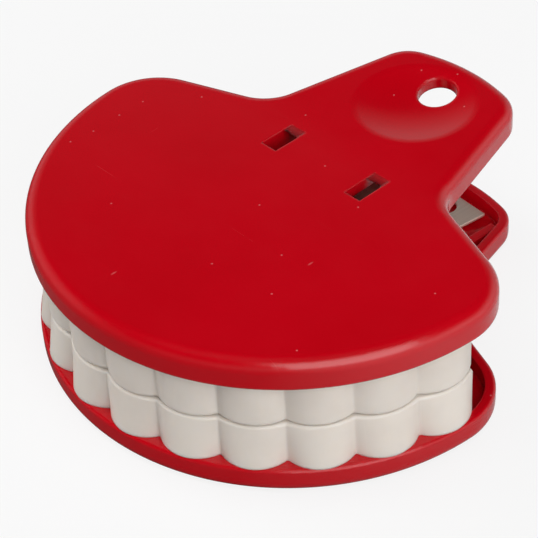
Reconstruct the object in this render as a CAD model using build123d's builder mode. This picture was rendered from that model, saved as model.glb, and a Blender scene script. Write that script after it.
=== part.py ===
# A spring clip shaped like a mouth: two hinged shells, each with a row of teeth, and a steel leaf spring.
#
# Each jaw is modelled skin-down, with its outer face on z = 0, its open side up and its handle along +Y.
# The lower jaw stays that way up and the upper jaw is turned over onto it. All lengths are in millimetres.
import os
from math import atan2, cos, degrees, hypot, radians, sin, sqrt, tan

from build123d import *

os.makedirs("parts", exist_ok=True)

# Overall
closed_height = 20.0        # from skin to skin, over both discs
disc_radius = 32.0          # its centre is the origin
cheek_y = 4.3               # where the front arc ends
root_x, root_y = 14.9, 10.4 # where the handle leaves the disc
tip_x, tip_y = 9.8, 29.8
tip_apex_y = 31.8
cheek_radius, root_radius, tip_radius = 8.5, 5.6, 4.8

# Shells
upper_wall, lower_wall = 3.9, 3.6
floor_thickness = 1.5
cheek_rim, handle_rim = 1.3, 1.4
skin_fillet = 1.6
lip_fillet = 0.4
flare_start_y = 10.2
flare_radius = 150.0
upper_flare, lower_flare = 2.6, 3.2     # degrees
ledge_inner_radius = 24.5
ledge_end_y = -1.2
handle_pocket_y = 10.5

# Ribs that keep the spring in the middle of each handle
rib_x, rib_width = 8.6, 1.2
rib_start_y, rib_end_y = 11.5, 27.4
rib_drop = 0.5

# Thumb dishes and the key hole
dish_y, dish_radius = 21.6, 7.7
upper_dish_depth, lower_dish_depth = 1.1, 0.7
dish_edge_fillet = 3.0
key_hole_y, key_hole_radius, key_hole_fillet = 25.6, 2.5, 0.35

# Hinge
hinge_y, hinge_z = 5.7, closed_height / 2
axle_radius, axle_clearance, axle_chamfer = 2.3, 0.05, 0.4
slot_x, slot_width, slot_length = 7.2, 2.5, 5.1
ear_radius, ear_gap, upper_ear_thickness = 3.7, 0.2, 2.2

# Teeth
teeth_per_row = 12
tooth_pitch = 14.8          # degrees
upper_crest_radius, upper_valley_radius = 31.05, 29.8
lower_crest_radius, lower_valley_radius = 31.9, 30.1
lower_row_taper = 1.0       # how far the lower crests draw in towards the bite
row_inner_radius = 26.0
seam_drop = 0.7             # how far the bite line lies below the hinge line
bite_gap = 0.1
valley_fillet, upper_bite_fillet, lower_bite_chamfer = 0.3, 0.7, 0.2
peg_ring_radius, peg_radius, peg_length = 28.0, 1.0, 1.1
peg_clearance = 0.05
peg_angles = [-71.0, -35.5, 0.0, 35.5, 71.0]

# Leaf spring
strip_width, strip_thickness = 9.8, 0.45
post_y, post_radius, post_height, strip_hole_radius = 26.1, 1.25, 0.15, 1.95
seat_end_y, seat_bend_y, apex_y = 29.1, 21.4, 10.0
upper_arm_end_y, upper_arm_bend_y = 21.6, 17.3
apex_half_height = 5.6
seat_clearance = 0.06
arm_bend_radius, apex_bend_radius = 6.0, 4.4
spring_skew = -4.5          # degrees about the post
spring_shift = 0.6          # sideways, within the play that the hole leaves round the post

# Rest
land_depth = 0.04           # of the two small flats that the clip stands on


def on_disc(radius, angle):
    # a point on a circle round the disc's centre, its angle measured from the front
    return (radius * sin(radians(angle)), -radius * cos(radians(angle)))


def handle_plane(flare):
    # the skin of a drooping handle: local y runs along the handle and z points into the jaw
    tilt = radians(flare)
    return Plane((0, flare_start_y, 0), x_dir=(1, 0, 0), z_dir=(0, sin(tilt), cos(tilt)))


def dish_ball_radius(depth):
    return (dish_radius**2 + depth**2) / (2 * depth)


def dish_centre(flare, depth):
    return handle_plane(flare).location * Location(
        (0, dish_y - flare_start_y, depth - dish_ball_radius(depth))
    )


# The outline that both jaws share
with BuildSketch() as jaw_outline:
    with BuildLine():
        cheek_x = sqrt(disc_radius**2 - cheek_y**2)
        ThreePointArc((cheek_x, cheek_y), (0, -disc_radius), (-cheek_x, cheek_y))
        Polyline((-cheek_x, cheek_y), (-root_x, root_y), (-tip_x, tip_y))
        ThreePointArc((-tip_x, tip_y), (0, tip_apex_y), (tip_x, tip_y))
        Polyline((tip_x, tip_y), (root_x, root_y), (cheek_x, cheek_y))
    make_face()
    for corner_y, corner_radius in ((cheek_y, cheek_radius), (root_y, root_radius), (tip_y, tip_radius)):
        corners = jaw_outline.vertices().filter_by_position(Axis.Y, corner_y - 0.01, corner_y + 0.01)
        fillet(corners, corner_radius)

# The hollows inside the rim, and the solid ledge that a row of teeth stands on
with BuildSketch() as disc_pocket:
    add(jaw_outline.sketch)
    offset(amount=-cheek_rim)
with BuildSketch() as handle_pocket:
    add(jaw_outline.sketch)
    offset(amount=-handle_rim)
    split(bisect_by=Plane.XZ.offset(-handle_pocket_y), keep=Keep.BOTTOM)
with BuildSketch() as tooth_ledge:
    Circle(disc_radius + 1)
    Circle(ledge_inner_radius, mode=Mode.SUBTRACT)
    split(bisect_by=Plane.XZ.offset(-ledge_end_y), keep=Keep.TOP)


def flared_band(low, high, flare):
    # a slab between two heights above the skin, which bends down along the handle
    reach = 40
    drop = (reach - flare_start_y) * tan(radians(flare))
    with BuildPart() as band:
        with BuildSketch(Plane.YZ):
            with BuildLine():
                FilletPolyline(
                    (-reach, low), (flare_start_y, low), (reach, low - drop),
                    (reach, high - drop), (flare_start_y, high), (-reach, high),
                    radius=[0, flare_radius, 0, 0, flare_radius, 0], close=True,
                )
            make_face()
        extrude(amount=reach, both=True)
    return band.part

def is_level(edge):
    return abs((edge % 0.5).Z) < 0.3


def lip_height(edge, wall, flare):
    # just under the rim's top, allowing for the handle's droop
    return wall - 0.2 - max(0, edge.center().Y - flare_start_y + 4) * tan(radians(flare))


def jaw_shell(wall, flare, dish_depth):
    # one jaw's rim, floor, tooth ledge, channel ribs and thumb dish
    with BuildPart() as pocket:
        with BuildSketch():
            add(disc_pocket.sketch)
            add(handle_pocket.sketch)
            add(tooth_ledge.sketch, mode=Mode.SUBTRACT)
        extrude(amount=2 * wall, both=True)
        add(flared_band(floor_thickness, 2 * wall, flare), mode=Mode.INTERSECT)

    with BuildPart() as ribs:
        with BuildSketch():
            with Locations((0, (rib_start_y + rib_end_y) / 2)):
                with GridLocations(2 * rib_x, 0, 2, 1):
                    Rectangle(rib_width, rib_end_y - rib_start_y)
        extrude(amount=wall, both=True)
        add(flared_band(floor_thickness / 2, wall - rib_drop, flare), mode=Mode.INTERSECT)

    ball = dish_ball_radius(dish_depth)
    with BuildPart() as dish_backing:
        with Locations(dish_centre(flare, dish_depth)):
            Sphere(ball + floor_thickness)
        with BuildSketch(handle_plane(flare).offset(floor_thickness / 2)):
            with Locations((0, dish_y - flare_start_y)):
                Circle(dish_radius + 0.6)
        extrude(amount=wall, mode=Mode.INTERSECT)

    with BuildPart() as shell:
        with BuildSketch():
            add(jaw_outline.sketch)
        extrude(amount=2 * wall, both=True)
        add(flared_band(0, wall, flare), mode=Mode.INTERSECT)
        outline_edges = shell.edges().filter_by(Axis.X, reverse=True).filter_by(is_level)
        fillet(outline_edges.filter_by(lambda edge: edge.center().Z < wall / 2 - 1), skin_fillet)
        outline_edges = shell.edges().filter_by(Axis.X, reverse=True).filter_by(is_level)
        lip_edges = outline_edges.filter_by(lambda edge: edge.center().Z > lip_height(edge, wall, flare))
        fillet(lip_edges, lip_fillet)
        add(pocket.part, mode=Mode.SUBTRACT)
        add(ribs.part)
        add(dish_backing.part)
        with Locations(dish_centre(flare, dish_depth)):
            Sphere(ball, mode=Mode.SUBTRACT)
        dish_edge = shell.edges().filter_by(GeomType.CIRCLE).filter_by(
            lambda edge: abs(edge.radius - dish_radius) < 0.05
        )
        fillet(dish_edge, dish_edge_fillet)
    return shell.part


def hinge_ears(inner_x, thickness):
    # a pair of round-topped ears that stand on a jaw's floor
    stem_height = hinge_z - floor_thickness / 2
    with BuildPart() as ears:
        with BuildSketch(Plane.YZ.offset(inner_x)):
            with Locations((hinge_y, hinge_z)):
                Circle(ear_radius)
            with Locations((hinge_y, hinge_z - stem_height / 2)):
                Rectangle(2 * ear_radius, stem_height)
        extrude(amount=thickness)
        mirror(about=Plane.YZ)
    return ears.part


def row_section(crest_radius, valley_radius):
    # a row's section: scallops outside and a plain arc inside
    row_end = teeth_per_row / 2 * tooth_pitch
    with BuildSketch() as section:
        with BuildLine():
            for tooth in range(teeth_per_row):
                left = tooth * tooth_pitch - row_end
                ThreePointArc(
                    on_disc(valley_radius, left),
                    on_disc(crest_radius, left + tooth_pitch / 2),
                    on_disc(valley_radius, left + tooth_pitch),
                )
            Line(on_disc(valley_radius, row_end), on_disc(row_inner_radius, row_end))
            ThreePointArc(*[on_disc(row_inner_radius, angle) for angle in (row_end, 0, -row_end)])
            Line(on_disc(row_inner_radius, -row_end), on_disc(valley_radius, -row_end))
        make_face()
        valleys = section.vertices().filter_by(
            lambda vertex: hypot(vertex.X, vertex.Y) > valley_radius - 0.1
        ).sort_by(Axis.Y)[: teeth_per_row - 1]
        fillet(valleys, valley_fillet)
    return section.sketch


def tooth_row(base, height, base_section, bite_section, soften, size):
    # one row of teeth with its locating pegs, standing on a jaw's ledge; soften is a fillet or a chamfer
    with BuildPart() as row:
        with BuildSketch(Plane.XY.offset(base)):
            add(base_section)
        with BuildSketch(Plane.XY.offset(base + height)):
            add(bite_section)
        loft(ruled=True)
        bite_edges = row.edges().group_by(Axis.Z)[-1].filter_by(GeomType.CIRCLE)
        soften(bite_edges.filter_by(lambda edge: edge.radius < row_inner_radius / 2), size)
        with BuildSketch(Plane.XY.offset(base)):
            for angle in peg_angles:
                with Locations(on_disc(peg_ring_radius, angle)):
                    Circle(peg_radius)
        extrude(amount=-peg_length)
    return row.part


def peg_holes(wall):
    # blind holes in the ledge for a tooth row's pegs
    with BuildPart() as holes:
        with BuildSketch(Plane.XY.offset(wall)):
            for angle in peg_angles:
                with Locations(on_disc(peg_ring_radius, angle)):
                    Circle(peg_radius + peg_clearance)
        extrude(amount=-peg_length - peg_clearance)
    return holes.part


# The lower ears stand under the slots in the upper skin, and the upper ears just outside them
slot_inner_x = slot_x - slot_width / 2
slot_outer_x = slot_x + slot_width / 2
seat_height = floor_thickness + lower_dish_depth

with BuildPart() as lower_half:
    add(jaw_shell(lower_wall, lower_flare, lower_dish_depth))
    add(hinge_ears(slot_inner_x, slot_width - ear_gap))
    with BuildSketch(Plane.YZ):
        with Locations((hinge_y, hinge_z)):
            Circle(axle_radius + axle_clearance)
    extrude(amount=2 * slot_x, both=True, mode=Mode.SUBTRACT)
    with BuildSketch(handle_plane(lower_flare).offset(floor_thickness)):
        with Locations((0, post_y - flare_start_y)):
            Circle(post_radius)
    extrude(amount=lower_dish_depth + strip_thickness + post_height)
    add(peg_holes(lower_wall), mode=Mode.SUBTRACT)

with BuildPart() as stub_axles:
    with BuildSketch(Plane.YZ.offset(slot_inner_x)):
        with Locations((hinge_y, hinge_z)):
            Circle(axle_radius)
    extrude(amount=slot_width + upper_ear_thickness / 2)
    chamfer(stub_axles.faces().sort_by(Axis.X)[0].edges(), axle_chamfer)
    mirror(about=Plane.YZ)

with BuildPart() as upper_half:
    add(jaw_shell(upper_wall, upper_flare, upper_dish_depth))
    add(hinge_ears(slot_outer_x, upper_ear_thickness))
    add(stub_axles.part)
    with BuildSketch():
        with Locations((0, hinge_y)):
            with GridLocations(2 * slot_x, 0, 2, 1):
                Rectangle(slot_width, slot_length)
    extrude(amount=floor_thickness, mode=Mode.SUBTRACT)
    with BuildSketch(handle_plane(upper_flare)):
        with Locations((0, key_hole_y - flare_start_y)):
            Circle(key_hole_radius)
    extrude(amount=2 * upper_wall, both=True, mode=Mode.SUBTRACT)
    rim_edges = upper_half.edges().filter_by(GeomType.LINE, reverse=True).filter_by(
        lambda edge: hypot(edge.center().X, edge.center().Y - key_hole_y) < key_hole_radius + 0.2
    )
    fillet(rim_edges.sort_by(Axis.Z)[0], key_hole_fillet)
    add(peg_holes(upper_wall), mode=Mode.SUBTRACT)

bite_height = hinge_z - seam_drop
with BuildPart() as lower_row:
    base_section = row_section(lower_crest_radius, lower_valley_radius)
    bite_section = row_section(lower_crest_radius - lower_row_taper, lower_valley_radius)
    lower_row_height = bite_height - lower_wall
    add(tooth_row(lower_wall, lower_row_height, base_section, bite_section, chamfer, lower_bite_chamfer))
with BuildPart() as upper_row:
    section = row_section(upper_crest_radius, upper_valley_radius)
    upper_row_height = closed_height - bite_height - bite_gap - upper_wall
    add(tooth_row(upper_wall, upper_row_height, section, section, fillet, upper_bite_fillet))


def arm_height(y, flare, depth):
    # height of the strip's centreline over a handle's skin, where it lies on the back of the dish
    tilt = radians(flare)
    over_skin = floor_thickness + depth + seat_clearance + strip_thickness / 2
    return over_skin / cos(tilt) - (y - flare_start_y) * tan(tilt)


with BuildPart() as strip:
    with BuildLine(Plane.YZ) as strip_path:
        FilletPolyline(
            (seat_end_y, arm_height(seat_end_y, lower_flare, lower_dish_depth)),
            (seat_bend_y, arm_height(seat_bend_y, lower_flare, lower_dish_depth)),
            (apex_y, hinge_z - apex_half_height),
            (apex_y, hinge_z + apex_half_height),
            (upper_arm_bend_y, closed_height - arm_height(upper_arm_bend_y, upper_flare, upper_dish_depth)),
            (upper_arm_end_y, closed_height - arm_height(upper_arm_end_y, upper_flare, upper_dish_depth)),
            radius=[arm_bend_radius, apex_bend_radius, apex_bend_radius, arm_bend_radius],
        )
    with BuildSketch(Plane(strip_path.line @ 0, x_dir=(1, 0, 0), z_dir=strip_path.line % 0)):
        Rectangle(strip_width, strip_thickness)
    sweep(path=strip_path.line)
    with BuildSketch(handle_plane(lower_flare)):
        with Locations((0, post_y - flare_start_y)):
            Circle(strip_hole_radius)
    extrude(amount=2 * lower_wall, mode=Mode.SUBTRACT)

# The spring has swung and slipped a little on its post
post_axis = Axis((0, post_y, 0), (0, 0, 1))
slipped_strip = strip.part.rotate(post_axis, spring_skew).moved(Location((spring_shift, 0, 0)))

# The clip rests on the front of its lower disc and the end of its lower handle, each with a shallow
# flat so that it doesn't rock, and has the middle of its footprint over the origin
front_contact_y = skin_fillet - disc_radius
rear_contact_y = tip_apex_y - skin_fillet
rear_droop = (rear_contact_y - flare_start_y) * tan(radians(lower_flare))
rest_tilt = degrees(atan2(rear_droop, rear_contact_y - front_contact_y))
tilted = Location((0, 0, 0), (rest_tilt, 0, 0))
turned_over = Location((0, 0, closed_height), (0, 180, 0))
lower_box = lower_half.part.moved(tilted).bounding_box()
upper_box = upper_half.part.moved(tilted * turned_over).bounding_box()
middle_y = (min(lower_box.min.Y, upper_box.min.Y) + max(lower_box.max.Y, upper_box.max.Y)) / 2
resting = Location((0, -middle_y, -lower_box.min.Z - land_depth)) * tilted

with BuildPart() as lower_jaw:
    add(lower_half.part.moved(resting))
    split(bisect_by=Plane.XY)
lower_jaw.part.label = "lower_jaw"
export_step(lower_jaw.part, "parts/lower_jaw.step")

with BuildPart() as upper_jaw:
    add(upper_half.part.moved(resting * turned_over))
upper_jaw.part.label = "upper_jaw"
export_step(upper_jaw.part, "parts/upper_jaw.step")

with BuildPart() as lower_teeth:
    add(lower_row.part.moved(resting))
lower_teeth.part.label = "lower_teeth"
export_step(lower_teeth.part, "parts/lower_teeth.step")

with BuildPart() as upper_teeth:
    add(upper_row.part.moved(resting * turned_over))
upper_teeth.part.label = "upper_teeth"
export_step(upper_teeth.part, "parts/upper_teeth.step")

with BuildPart() as leaf_spring:
    add(slipped_strip.moved(resting))
leaf_spring.part.label = "leaf_spring"
export_step(leaf_spring.part, "parts/leaf_spring.step")

hinge_at = (resting * Location((0, hinge_y, hinge_z))).position
key_hole_at = handle_plane(upper_flare).location * Location((0, key_hole_y - flare_start_y, 0))
print("rest tilt", round(rest_tilt, 4), "degrees; design origin at", (resting * Location((0, 0, 0))).position)
print("hinge axis passes through", hinge_at)
print("key hole at skin level", (resting * turned_over * key_hole_at).position)
print("key hole axis", (resting * turned_over * key_hole_at * Location((0, 0, -1))).position)
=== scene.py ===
# A mouth-shaped spring clip: finishes for its moulded parts, a detailed leaf spring, and a plain pale studio.
import math

import bpy
from mathutils import Matrix, Vector


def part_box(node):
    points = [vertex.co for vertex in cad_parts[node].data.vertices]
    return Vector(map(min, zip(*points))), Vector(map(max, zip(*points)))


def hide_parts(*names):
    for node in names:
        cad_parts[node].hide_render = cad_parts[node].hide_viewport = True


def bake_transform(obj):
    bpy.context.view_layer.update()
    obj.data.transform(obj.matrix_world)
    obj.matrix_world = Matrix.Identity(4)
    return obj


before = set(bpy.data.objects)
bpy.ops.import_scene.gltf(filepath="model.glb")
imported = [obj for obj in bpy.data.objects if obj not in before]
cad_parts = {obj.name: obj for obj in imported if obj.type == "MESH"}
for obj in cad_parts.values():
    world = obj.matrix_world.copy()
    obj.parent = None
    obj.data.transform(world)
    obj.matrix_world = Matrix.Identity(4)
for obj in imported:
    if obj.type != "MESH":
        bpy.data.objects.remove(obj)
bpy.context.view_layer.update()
mm = 0.001
print("frame loaded:", ", ".join(sorted(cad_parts)))


# helpers that add one node, or a few, to a tree
def addNode(tree, kind, values=None, **settings):
    made = tree.nodes.new(kind)
    for setting, value in settings.items():
        setattr(made, setting, value)
    for socket, value in (values or {}).items():
        if isinstance(value, bpy.types.NodeSocket):
            tree.links.new(value, made.inputs[socket])
        else:
            made.inputs[socket].default_value = value
    return made


def maths(tree, operation, first, second=0.0):
    return addNode(tree, "ShaderNodeMath", {0: first, 1: second}, operation=operation).outputs[0]


def spread(tree, value, low, high, toLow=0.0, toHigh=1.0):
    ends = {"Value": value, "From Min": low, "From Max": high, "To Min": toLow, "To Max": toHigh}
    return addNode(tree, "ShaderNodeMapRange", ends).outputs["Result"]


def blendColour(tree, amount, first, second):
    mixed = addNode(tree, "ShaderNodeMix", {0: amount, 6: first, 7: second}, data_type="RGBA")
    return mixed.outputs[2]


def noise(tree, place, scale, detail=2.0, roughness=0.5):
    values = {"Vector": place, "Scale": scale, "Detail": detail, "Roughness": roughness}
    return addNode(tree, "ShaderNodeTexNoise", values).outputs["Fac"]


def stretched(tree, place, scale, turn=0.0):
    # a stretched copy of the place, turned about Z by some degrees
    values = {"Vector": place, "Scale": scale, "Rotation": (0.0, 0.0, math.radians(turn))}
    return addNode(tree, "ShaderNodeMapping", values).outputs["Vector"]


def rgba(colour):
    return (*colour, 1.0)


def grey(level):
    return rgba((level,) * 3)


def tinted(tree, tone, mask, amount, colour):
    return blendColour(tree, maths(tree, "MULTIPLY", mask, amount), tone, rgba(colour))


def raised(tree, level, mask, amount):
    return maths(tree, "ADD", level, maths(tree, "MULTIPLY", mask, amount))


def lowered(tree, level, mask, amount):
    return maths(tree, "SUBTRACT", level, maths(tree, "MULTIPLY", mask, amount))


def bumped(tree, relief, normal, strength):
    values = {"Height": relief, "Normal": normal, "Distance": mm, "Strength": strength}
    return addNode(tree, "ShaderNodeBump", values).outputs["Normal"]


def emptyTree(owner):
    # the cleared node tree of a material or a world
    owner.use_nodes = True
    owner.node_tree.nodes.clear()
    return owner.node_tree


def finishTree(tree, shader, kind="ShaderNodeOutputMaterial"):
    output = addNode(tree, kind)
    tree.links.new(shader.outputs[0], output.inputs["Surface"])


def specks(tree, place, scale, size, share, sides="3D"):
    # small marks, one at most in each cell, and only in a share of the cells
    values = {"Vector": place, "Scale": scale}
    cells = addNode(tree, "ShaderNodeTexVoronoi", values, voronoi_dimensions=sides)
    near = spread(tree, cells.outputs["Distance"], size, size * 0.5)
    pick = addNode(tree, "ShaderNodeSeparateColor", {"Color": cells.outputs["Color"]})
    return maths(tree, "MULTIPLY", near, maths(tree, "LESS_THAN", pick.outputs[0], share))


# worn edges, and flats that take marks
edges = {
    "bevelSamples": 4,
    "facing": (0.985, 0.80),  # cosine between the rounded normal and the face's, from unworn to worn
    "patchScale": 420.0, "patchEnds": (0.35, 0.7),
    "flatEnds": (0.90, 0.96),  # upward part of the normal, from unmarked to marked
}


def onFlats(tree, amount):
    # keeps marks to the faces that look up or down
    normal = addNode(tree, "ShaderNodeTexCoord").outputs["Normal"]
    upward = addNode(tree, "ShaderNodeSeparateXYZ", {"Vector": normal}).outputs["Z"]
    level = spread(tree, maths(tree, "ABSOLUTE", upward), *edges["flatEnds"])
    return maths(tree, "MULTIPLY", amount, level)


def wornEdges(tree, place, radius):
    # a rounded normal, and a patchy mask of the edges that it softens
    bevel = addNode(tree, "ShaderNodeBevel", {"Radius": radius * mm}, samples=edges["bevelSamples"])
    rounded = bevel.outputs["Normal"]
    flat = addNode(tree, "ShaderNodeNewGeometry").outputs["Normal"]
    facing = addNode(tree, "ShaderNodeVectorMath", {0: rounded, 1: flat}, operation="DOT_PRODUCT")
    edge = spread(tree, facing.outputs["Value"], *edges["facing"])
    patchy = spread(tree, noise(tree, place, edges["patchScale"], 3.0), *edges["patchEnds"])
    return rounded, maths(tree, "MULTIPLY", edge, patchy)


# finishes of the two plastics
redPlastic = {
    "colour": (0.468, 0.0003, 0.0060),
    "deepColour": (0.446, 0.0002, 0.0052),
    "wornColour": (0.62, 0.045, 0.05),
    "speckColour": (0.76, 0.24, 0.25),
    "driftScale": 70.0,
    "speckScale": 230.0, "speckSize": 0.034, "speckShare": 0.16,
    "dashScale": 170.0, "dashSize": 0.024, "dashShare": 0.14,
    "scratchLow": 0.78, "scratchHigh": 0.83,
    "roughness": (0.15, 0.19),
    "grainScale": 1500.0, "grainHeight": 0.0012, "drawScale": (900.0, 900.0, 60.0), "drawHeight": 0.0008,
    "edgeRadius": 0.35,  # mm
    "subsurface": 0.0,
}
toothPlastic = {
    "colour": (0.70, 0.645, 0.585),
    "deepColour": (0.665, 0.605, 0.545),
    "wornColour": (0.74, 0.70, 0.65),
    "speckColour": (0.52, 0.46, 0.39),
    "driftScale": 120.0,
    "speckScale": 420.0, "speckSize": 0.04, "speckShare": 0.04,
    "dashScale": 230.0, "dashSize": 0.035, "dashShare": 0.05,
    "scratchLow": 0.72, "scratchHigh": 0.78,
    "roughness": (0.34, 0.46),
    "grainScale": 1800.0, "grainHeight": 0.003, "drawScale": (1300.0, 1300.0, 35.0), "drawHeight": 0.006,
    "edgeRadius": 0.3,  # mm
    "subsurface": 0.30,
}
# how both plastics are marked, rubbed and scratched
wear = {
    "driftEnds": (0.35, 0.65), "glossScale": 240.0, "glossEnds": (0.3, 0.7),
    "markTint": 0.38, "dashStrength": 0.6, "edgeTint": 0.35, "scratchTint": 0.10,
    "dashStretch": (1.0, 0.28, 1.0), "dashTurn": 24.0,
    "hairScale": (70.0, 5200.0, 70.0), "hairTurn": -38.0,
    "crossHairScale": (4600.0, 90.0, 90.0), "crossHairTurn": 21.0,
    "scratchDulls": 0.12, "rubDulls": 0.10,
    "markHeight": 0.02, "scratchDepth": 0.004,
    "bumpStrength": 0.6,
    "subsurfaceDepth": 1.8,  # mm
}


def mouldedPlastic(name, look):
    material = bpy.data.materials.new(name)
    tree = emptyTree(material)
    place = addNode(tree, "ShaderNodeTexCoord").outputs["Object"]

    drift = spread(tree, noise(tree, place, look["driftScale"], 3.0, 0.55), *wear["driftEnds"])
    tone = blendColour(tree, drift, rgba(look["colour"]), rgba(look["deepColour"]))
    dots = specks(tree, place, look["speckScale"], look["speckSize"], look["speckShare"], "2D")
    along = stretched(tree, place, wear["dashStretch"], wear["dashTurn"])
    dashes = specks(tree, along, look["dashScale"], look["dashSize"], look["dashShare"], "2D")
    fainter = maths(tree, "MULTIPLY", dashes, wear["dashStrength"])
    marks = onFlats(tree, maths(tree, "MAXIMUM", dots, fainter))
    tone = tinted(tree, tone, marks, wear["markTint"], look["speckColour"])

    hairs = stretched(tree, place, wear["hairScale"], wear["hairTurn"])
    crossHairs = stretched(tree, place, wear["crossHairScale"], wear["crossHairTurn"])
    scratch = maths(
        tree, "MAXIMUM",
        spread(tree, noise(tree, hairs, 1.0, 1.0), look["scratchLow"], look["scratchHigh"]),
        spread(tree, noise(tree, crossHairs, 1.0, 1.0), look["scratchLow"], look["scratchHigh"]),
    )
    rounded, worn = wornEdges(tree, place, look["edgeRadius"])
    tone = tinted(tree, tone, worn, wear["edgeTint"], look["wornColour"])
    tone = tinted(tree, tone, scratch, wear["scratchTint"], look["wornColour"])

    sheen = noise(tree, place, wear["glossScale"], 4.0, 0.6)
    gloss = spread(tree, sheen, *wear["glossEnds"], *look["roughness"])
    gloss = raised(tree, gloss, scratch, wear["scratchDulls"])
    gloss = raised(tree, gloss, maths(tree, "MAXIMUM", worn, marks), wear["rubDulls"])

    grain = maths(tree, "MULTIPLY", noise(tree, place, look["grainScale"], 2.0), look["grainHeight"])
    drawLines = noise(tree, stretched(tree, place, look["drawScale"]), 1.0, 2.0)
    relief = raised(tree, grain, drawLines, look["drawHeight"])
    relief = raised(tree, relief, marks, wear["markHeight"])
    relief = lowered(tree, relief, scratch, wear["scratchDepth"])

    shader = addNode(tree, "ShaderNodeBsdfPrincipled", {
        "Base Color": tone,
        "Roughness": gloss,
        "Normal": bumped(tree, relief, rounded, wear["bumpStrength"]),
        "IOR": 1.5,
        "Subsurface Weight": look["subsurface"],
        "Subsurface Radius": (1.0, 0.8, 0.6),
        "Subsurface Scale": wear["subsurfaceDepth"] * mm,
    })
    finishTree(tree, shader)
    return material


# finish of the spring
rolledSteel = {
    # colour and deepColour are partly the steel's own tone and partly painted reflected light: warmed for red
    # light bounced from the plastic onto the steel in shade
    "colour": (0.95, 0.825, 0.715),
    "deepColour": (0.86, 0.735, 0.625),
    "stainColour": (0.42, 0.35, 0.28),
    "wornColour": (0.74, 0.72, 0.69),
    "roughness": (0.44, 0.56),
    "metallic": 0.86,
    "lineScale": (5200.0, 60.0, 60.0), "lineTurn": 4.5, "lineEnds": (0.3, 0.7), "lineHeight": 0.006,
    "cloudScale": 160.0, "cloudEnds": (0.35, 0.7), "cloudTint": 0.25, "cloudDulls": 0.08,
    "pitScale": 520.0, "pitSize": 0.07, "pitShare": 0.10, "pitTint": 0.5, "pitDepth": 0.02,
    "edgeRadius": 0.12, "edgeTint": 0.5,
    "bumpStrength": 0.7,
}


def springSteel(name, look):
    material = bpy.data.materials.new(name)
    tree = emptyTree(material)
    place = addNode(tree, "ShaderNodeTexCoord").outputs["Object"]
    # the rolling lines run the length of the strip, so they vary fast across it and slowly along it
    along = stretched(tree, place, look["lineScale"], look["lineTurn"])
    lines = noise(tree, along, 1.0, 3.0, 0.6)
    cloud = spread(tree, noise(tree, place, look["cloudScale"], 4.0, 0.6), *look["cloudEnds"])
    pits = specks(tree, place, look["pitScale"], look["pitSize"], look["pitShare"])
    rounded, worn = wornEdges(tree, place, look["edgeRadius"])

    lined = spread(tree, lines, *look["lineEnds"])
    tone = blendColour(tree, lined, rgba(look["colour"]), rgba(look["deepColour"]))
    tone = tinted(tree, tone, cloud, look["cloudTint"], look["deepColour"])
    tone = tinted(tree, tone, pits, look["pitTint"], look["stainColour"])
    tone = tinted(tree, tone, worn, look["edgeTint"], look["wornColour"])

    gloss = spread(tree, lines, *look["lineEnds"], *look["roughness"])
    gloss = raised(tree, gloss, cloud, look["cloudDulls"])
    relief = maths(tree, "MULTIPLY", lines, look["lineHeight"])
    relief = lowered(tree, relief, pits, look["pitDepth"])

    shader = addNode(tree, "ShaderNodeBsdfPrincipled", {
        "Base Color": tone,
        "Roughness": gloss,
        "Normal": bumped(tree, relief, rounded, look["bumpStrength"]),
        "Metallic": look["metallic"],
    })
    finishTree(tree, shader)
    return material


redFinish = mouldedPlastic("glossyRedPlastic", redPlastic)
toothFinish = mouldedPlastic("ivoryToothPlastic", toothPlastic)
steelFinish = springSteel("rolledSpringSteel", rolledSteel)
for nodeName, finish in (
    ("lower_jaw", redFinish), ("upper_jaw", redFinish),
    ("lower_teeth", toothFinish), ("upper_teeth", toothFinish),
):
    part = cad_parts[nodeName]
    part.data.materials.clear()
    part.data.materials.append(finish)
print("finishes made")

# leaf spring: a strip swept along its bent centreline, which is written in the jaws' own frame
leafSpring = {
    "route": [  # y and z of the corners, in mm
        (29.1, 1.432), (21.4, 1.863), (10.0, 4.4), (10.0, 15.6), (17.3, 17.434), (21.6, 17.630),
    ],
    "bends": [0.0, 6.0, 4.4, 4.4, 6.0, 0.0],  # radius at each corner
    "width": 9.8,
    "thickness": 0.45,
    "edge": 0.12,
    "hole": 1.95,  # radius
    "holeY": 26.1,
    "flare": 3.2,  # degrees, the slope of the handle that it lies on
    "skew": -4.5,  # degrees about the post
    "slip": 0.6,  # sideways on the post
    "restTilt": 1.0571,  # degrees, from the jaws' own frame to the clip at rest
    "restOrigin": (0.0, 0.274175, 0.521109),
    "bendSteps": 16, "bendCuts": 3, "edgeSteps": 3,
    "holeSides": 64, "cutDepth": 2.0,
    "sharpAngle": 35.0,
    "stillEnd": 3.4,  # "stillEnd": 3.4, # height at either end that would move with one body only
}


def springTurns():
    skew = Matrix.Rotation(math.radians(leafSpring["skew"]), 3, "Z")
    tilt = Matrix.Rotation(math.radians(leafSpring["restTilt"]), 3, "X")
    return skew, tilt


def springPoint(y, z):
    # from the jaws' own frame, in mm, to the clip's at rest
    skew, tilt = springTurns()
    post = Vector((0.0, leafSpring["holeY"], 0.0))
    skewed = skew @ (Vector((0.0, y, z)) - post) + post
    skewed.x += leafSpring["slip"]
    return (tilt @ skewed + Vector(leafSpring["restOrigin"])) * mm


def roundCorners(tree, curve, radius, steps):
    # each corner becomes an arc of this many straight runs
    values = {"Curve": curve, "Radius": radius, "Count": steps}
    return addNode(tree, "GeometryNodeFilletCurve", values, mode="POLY").outputs[0]


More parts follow.
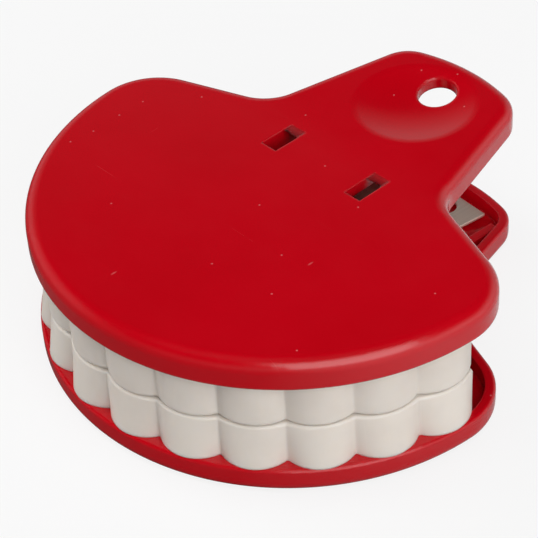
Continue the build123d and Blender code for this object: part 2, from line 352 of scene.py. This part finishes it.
def stripTree():
    tree = bpy.data.node_groups.new("bentStrip", "GeometryNodeTree")
    sockets = {}
    for label, kind in (
        ("Route", "NodeSocketGeometry"), ("Width", "NodeSocketFloat"), ("Thickness", "NodeSocketFloat"),
        ("Edge", "NodeSocketFloat"), ("Across", "NodeSocketVector"),
        ("Hole Radius", "NodeSocketFloat"), ("Hole Place", "NodeSocketVector"),
        ("Hole Turn", "NodeSocketVector"), ("Finish", "NodeSocketMaterial"),
    ):
        sockets[label] = tree.interface.new_socket(label, in_out="INPUT", socket_type=kind)
    tree.interface.new_socket("Strip", in_out="OUTPUT", socket_type="NodeSocketGeometry")
    given = addNode(tree, "NodeGroupInput").outputs

    # the centreline, with the strip's width held across it
    bend = addNode(tree, "GeometryNodeInputNamedAttribute", {"Name": "bend"}, data_type="FLOAT")
    line = addNode(tree, "GeometryNodeMeshToCurve", {"Mesh": given["Route"]})
    bent = roundCorners(tree, line.outputs[0], bend.outputs[0], leafSpring["bendSteps"])
    finer = addNode(tree, "GeometryNodeSubdivideCurve", {"Curve": bent, "Cuts": leafSpring["bendCuts"]})
    faced = addNode(tree, "GeometryNodeSetCurveNormal", {"Curve": finer.outputs[0]}, mode="FREE")
    tree.links.new(given["Across"], faced.inputs["Normal"])

    # the section, swept along it
    section = addNode(tree, "GeometryNodeCurvePrimitiveQuadrilateral", {
        "Width": given["Width"], "Height": given["Thickness"],
    })
    softened = roundCorners(tree, section.outputs[0], given["Edge"], leafSpring["edgeSteps"])
    swept = addNode(tree, "GeometryNodeCurveToMesh", {
        "Curve": faced.outputs[0], "Profile Curve": softened, "Fill Caps": True,
    })

    # the hole over the post
    cutter = addNode(tree, "GeometryNodeMeshCylinder", {
        "Vertices": leafSpring["holeSides"], "Radius": given["Hole Radius"],
        "Depth": leafSpring["cutDepth"] * mm,
    })
    placed = addNode(tree, "GeometryNodeTransform", {
        "Geometry": cutter.outputs["Mesh"],
        "Translation": given["Hole Place"], "Rotation": given["Hole Turn"],
    })
    holed = addNode(tree, "GeometryNodeMeshBoolean", {"Mesh 1": swept.outputs[0]}, operation="DIFFERENCE")
    tree.links.new(placed.outputs[0], holed.inputs["Mesh 2"])

    # smooth bends and crisp edges
    edgeAngle = addNode(tree, "GeometryNodeInputMeshEdgeAngle").outputs["Unsigned Angle"]
    sharp = {0: edgeAngle, 1: math.radians(leafSpring["sharpAngle"])}
    isSharp = addNode(tree, "FunctionNodeCompare", sharp, operation="GREATER_THAN")
    smooth = addNode(tree, "GeometryNodeSetShadeSmooth", {"Geometry": holed.outputs[0]}, domain="FACE")
    crisp = addNode(tree, "GeometryNodeSetShadeSmooth", {
        "Geometry": smooth.outputs[0], "Selection": isSharp.outputs[0], "Shade Smooth": False,
    }, domain="EDGE")
    real = addNode(tree, "GeometryNodeRealizeInstances", {"Geometry": crisp.outputs[0]})
    coated = addNode(tree, "GeometryNodeSetMaterial", {
        "Geometry": real.outputs[0], "Material": given["Finish"],
    })
    result = addNode(tree, "NodeGroupOutput")
    tree.links.new(coated.outputs[0], result.inputs[0])
    return tree, {label: socket.identifier for label, socket in sockets.items()}


def bake(source, name):
    # the evaluated result as a plain mesh object
    bpy.context.view_layer.update()
    evaluated = source.evaluated_get(bpy.context.evaluated_depsgraph_get())
    mesh = bpy.data.meshes.new_from_object(evaluated)
    mesh.name = name
    bpy.data.objects.remove(source)
    baked = bpy.data.objects.new(name, mesh)
    bpy.context.scene.collection.objects.link(baked)
    return baked


def makeLeafSpring():
    points = [springPoint(y, z) for y, z in leafSpring["route"]]
    mesh = bpy.data.meshes.new("springRoute")
    mesh.from_pydata(points, [(first, first + 1) for first in range(len(points) - 1)], [])
    bend = mesh.attributes.new("bend", "FLOAT", "POINT")
    bend.data.foreach_set("value", [radius * mm for radius in leafSpring["bends"]])
    source = bpy.data.objects.new("springSource", mesh)
    bpy.context.scene.collection.objects.link(source)

    # the hole's middle lies on the straight lower arm
    route = leafSpring["route"]
    seatSlope = (route[1][1] - route[0][1]) / (route[0][0] - route[1][0])
    holeZ = route[0][1] + (route[0][0] - leafSpring["holeY"]) * seatSlope
    skew, tilt = springTurns()
    tree, ids = stripTree()
    sweep = source.modifiers.new("bentStrip", "NODES")
    sweep.node_group = tree
    sweep[ids["Width"]] = leafSpring["width"] * mm
    sweep[ids["Thickness"]] = leafSpring["thickness"] * mm
    sweep[ids["Edge"]] = leafSpring["edge"] * mm
    sweep[ids["Across"]] = tilt @ skew @ Vector((1.0, 0.0, 0.0))
    sweep[ids["Hole Radius"]] = leafSpring["hole"] * mm
    sweep[ids["Hole Place"]] = springPoint(leafSpring["holeY"], holeZ)
    sweep[ids["Hole Turn"]] = (math.radians(leafSpring["restTilt"] - leafSpring["flare"]), 0.0, 0.0)
    sweep[ids["Finish"]] = steelFinish
    return bake(source, "leafSpringStrip")


spring = makeLeafSpring()
low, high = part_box("leaf_spring")
gaps = []  # between the made strip's box and the frame's
for axis in range(3):
    made = [corner.co[axis] for corner in spring.data.vertices]
    gaps += [abs(min(made) - low[axis]), abs(max(made) - high[axis])]
print("spring off the frame by at most (mm):", round(max(gaps) / mm, 3))
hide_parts("leaf_spring")
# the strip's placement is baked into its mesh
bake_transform(spring)
print("leaf spring made:", len(spring.data.polygons), "faces")

# plain studio
studio = {
    "background": 0.944,
    "horizon": [(0.0, 0.62), (0.32, 0.55), (0.50, 0.28), (0.63, 0.02), (1.0, 0.0)],  # height, level
    "acrossLevels": (0.75, 2.4),  # left and right, over the ends below
    "acrossEnds": (-0.3, 0.95),
    "depthLevels": (0.32, 1.0),  # front and back
    "depthEnds": (-0.9, 0.2),
    "floorSize": 3.0,  # metres
    "floorDrop": 0.02,  # mm under the clip
    "floorPaint": 0.9, "floorGlow": 0.88,
    "thrownLevels": (0.30, 0.50), "thrownEnds": (-0.05, 0.05),  # what the floor throws back
    "mirroredLevels": (0.10, 0.80), "mirroredEnds": (-0.01, 0.05),
    "lampTarget": (0.0, 0.0, 0.011),
}
# soft square lamps, aimed at the middle of the clip
lamps = [
    {
        "name": "keyBox", "toward": (0.79, -0.33, 0.66), "distance": 0.55,
        "size": 0.46, "power": 2.2, "mirrored": True,
    },
    {
        "name": "topBox", "toward": (0.05, -0.16, 1.0), "distance": 0.60,
        "size": 0.50, "power": 1.28, "mirrored": False,
    },
    {
        "name": "fillBox", "toward": (-0.93, -0.42, 0.32), "distance": 0.60,
        "size": 0.50, "power": 3.6, "mirrored": False,
    },
]


def plainFloor():
    reach, under = studio["floorSize"] / 2, -studio["floorDrop"] * mm
    mesh = bpy.data.meshes.new("floor")
    corners = [(x * reach, y * reach, under) for x, y in ((-1, -1), (1, -1), (1, 1), (-1, 1))]
    mesh.from_pydata(corners, [], [(0, 1, 2, 3)])
    floor = bpy.data.objects.new("floor", mesh)
    bpy.context.scene.collection.objects.link(floor)
    material = bpy.data.materials.new("paleFloor")
    tree = emptyTree(material)
    rays = addNode(tree, "ShaderNodeLightPath").outputs

    # what the floor throws back on the clip fades from the back right to the front left
    place = addNode(tree, "ShaderNodeTexCoord").outputs["Object"]
    parts = addNode(tree, "ShaderNodeSeparateXYZ", {"Vector": place}).outputs
    side = maths(tree, "ADD", parts["X"], parts["Y"])
    lighting = spread(tree, side, *studio["thrownEnds"], *studio["thrownLevels"])
    mirrored = spread(tree, side, *studio["mirroredEnds"], *studio["mirroredLevels"])
    thrown = addNode(tree, "ShaderNodeMix", {0: rays["Is Glossy Ray"], 2: lighting, 3: mirrored}).outputs[0]
    toned = {"Red": thrown, "Green": thrown, "Blue": thrown}
    tone = addNode(tree, "ShaderNodeCombineColor", toned).outputs[0]
    paper = addNode(tree, "ShaderNodeBsdfDiffuse", {"Color": tone}).outputs[0]

    # what the camera sees is mostly a plain pale glow, with the clip's shadow on the rest
    glow = addNode(tree, "ShaderNodeEmission", {"Color": grey(studio["background"])}).outputs[0]
    pale = addNode(tree, "ShaderNodeBsdfDiffuse", {"Color": grey(studio["floorPaint"])}).outputs[0]
    shown = addNode(tree, "ShaderNodeMixShader", {0: studio["floorGlow"], 1: pale, 2: glow}).outputs[0]
    finishTree(tree, addNode(tree, "ShaderNodeMixShader", {0: rays["Is Camera Ray"], 1: paper, 2: shown}))
    mesh.materials.append(material)


def softbox(look):
    lamp = bpy.data.lights.new(look["name"], "AREA")
    lamp.shape = "SQUARE"
    lamp.size = look["size"]
    lamp.energy = look["power"]
    holder = bpy.data.objects.new(look["name"], lamp)
    bpy.context.scene.collection.objects.link(holder)
    toward = Vector(look["toward"]).normalized()
    holder.location = Vector(studio["lampTarget"]) + toward * look["distance"]
    holder.rotation_euler = toward.to_track_quat("Z", "Y").to_euler()
    holder.visible_glossy = look["mirrored"]


def studioWorld():
    # bright round the horizon, darker overhead, and plain pale to the camera
    world = bpy.data.worlds.new("studio")
    bpy.context.scene.world = world
    tree = emptyTree(world)
    direction = addNode(tree, "ShaderNodeTexCoord").outputs["Generated"]
    parts = addNode(tree, "ShaderNodeSeparateXYZ", {"Vector": direction}).outputs
    ramp = addNode(tree, "ShaderNodeValToRGB", {"Fac": parts["Z"]})
    stops = studio["horizon"]
    while len(ramp.color_ramp.elements) < len(stops):
        ramp.color_ramp.elements.new(0.5)
    for element, (height, level) in zip(ramp.color_ramp.elements, stops):
        element.position = height
        element.color = grey(level)
    across = spread(tree, parts["X"], *studio["acrossEnds"], *studio["acrossLevels"])
    depth = spread(tree, parts["Y"], *studio["depthEnds"], *studio["depthLevels"])
    around = {"Color": ramp.outputs["Color"], "Strength": maths(tree, "MULTIPLY", across, depth)}
    lit = addNode(tree, "ShaderNodeBackground", around).outputs[0]
    plain = addNode(tree, "ShaderNodeBackground", {"Color": grey(studio["background"])}).outputs[0]
    seen = addNode(tree, "ShaderNodeLightPath").outputs["Is Camera Ray"]
    shown = addNode(tree, "ShaderNodeMixShader", {0: seen, 1: lit, 2: plain})
    finishTree(tree, shown, "ShaderNodeOutputWorld")


camera = {
    "place": (138.357, -126.772, 161.541),  # mm
    "right": (0.684234, 0.728402, -0.035421),
    "up": (-0.444480, 0.455050, 0.771600),
    "back": (0.578154, -0.512211, 0.635121),
    "lens": 131.12,
    "nearest": 10.0,  # mm, where the view starts
}


def studioCamera():
    data = bpy.data.cameras.new("camera")
    data.lens = camera["lens"]
    data.clip_start = camera["nearest"] * mm
    holder = bpy.data.objects.new("camera", data)
    bpy.context.scene.collection.objects.link(holder)
    turn = Matrix((camera["right"], camera["up"], camera["back"])).transposed().to_4x4()
    holder.matrix_world = Matrix.Translation(Vector(camera["place"]) * mm) @ turn
    bpy.context.scene.camera = holder


plainFloor()
for lampLook in lamps:
    softbox(lampLook)
studioWorld()
studioCamera()
bpy.context.scene.view_settings.view_transform = "Standard"
print("studio ready")
